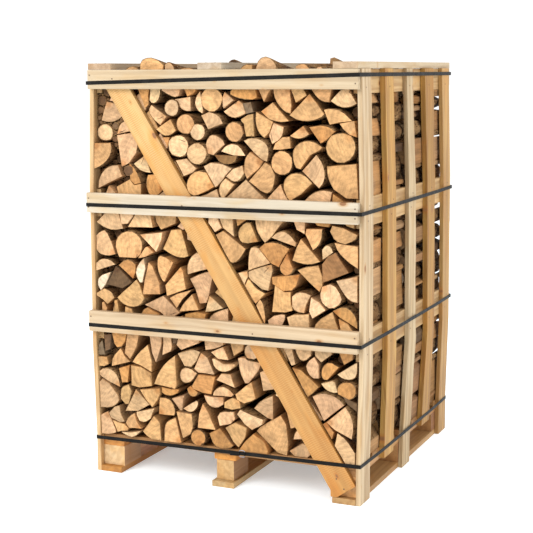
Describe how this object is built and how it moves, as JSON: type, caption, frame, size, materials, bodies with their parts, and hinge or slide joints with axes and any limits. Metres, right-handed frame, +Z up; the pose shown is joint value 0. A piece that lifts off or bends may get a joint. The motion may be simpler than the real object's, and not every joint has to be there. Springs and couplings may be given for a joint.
{
  "type": "crate of firewood",
  "caption": "Tall nailed softwood crate on a pallet, packed with rows of split logs and held with flat straps.",
  "frame": {"origin": "the middle of the crate's footprint, on the floor that the runners stand on", "axes": "+Z up; +X to the right as the front is seen; +Y to the back, along the logs"},
  "size_m": [1.1326, 1.1562, 1.62],
  "materials": {
    "rail_pine": "rough sawn pale softwood",
    "brace_pine": "rough sawn yellow softwood",
    "post_pine": "rough sawn softwood",
    "pallet_pine": "rough sawn softwood, orange brown",
    "ash_logs": "split and sawn ash with bark",
    "black_strap": "glossy black plastic band",
    "buckle_wire": "bright galvanised wire"
  },
  "bodies": {
    "root": {"pallet_runner_left": "pallet_pine", "pallet_stringer_left": "pallet_pine", "pallet_block_left_front": "pallet_pine", "pallet_block_left_middle": "pallet_pine", "pallet_block_left_back": "pallet_pine", "pallet_runner_middle": "pallet_pine", "pallet_stringer_middle": "pallet_pine", "pallet_block_middle_front": "pallet_pine", "pallet_block_middle_middle": "pallet_pine", "pallet_block_middle_back": "pallet_pine", "pallet_runner_right": "pallet_pine", "pallet_stringer_right": "pallet_pine", "pallet_block_right_front": "pallet_pine", "pallet_block_right_middle": "pallet_pine", "pallet_block_right_back": "pallet_pine", "pallet_deck_board_1": "pallet_pine", "pallet_deck_board_2": "pallet_pine", "pallet_deck_board_3": "pallet_pine", "pallet_deck_board_4": "pallet_pine", "pallet_deck_board_5": "pallet_pine", "pallet_deck_board_6": "pallet_pine", "pallet_deck_board_7": "pallet_pine", "side_post_left_1": "post_pine", "side_post_left_2": "post_pine", "side_post_left_3": "post_pine", "side_post_left_4": "post_pine", "side_post_left_5": "post_pine", "side_rail_left_bottom": "post_pine", "side_rail_left_middle": "post_pine", "side_rail_left_top": "post_pine", "side_post_right_1": "post_pine", "side_post_right_2": "post_pine", "side_post_right_3": "post_pine", "side_post_right_4": "post_pine", "side_post_right_5": "post_pine", "side_rail_right_bottom": "post_pine", "side_rail_right_middle": "post_pine", "side_rail_right_top": "post_pine", "front_rail_bottom": "rail_pine", "front_rail_middle": "rail_pine", "front_rail_top": "rail_pine", "front_brace": "brace_pine", "back_rail_bottom": "rail_pine", "back_rail_middle": "rail_pine", "back_rail_top": "rail_pine", "back_brace": "brace_pine", "cap_board_left": "rail_pine", "cap_board_middle": "rail_pine", "cap_board_right": "rail_pine", "strap_top": "black_strap", "strap_upper": "black_strap", "strap_lower": "black_strap", "strap_bottom": "black_strap", "strap_buckle": "buckle_wire", "log_row_front": "ash_logs", "log_row_second": "ash_logs", "log_row_third": "ash_logs", "log_row_back": "ash_logs"}
  },
  "joints": []
}
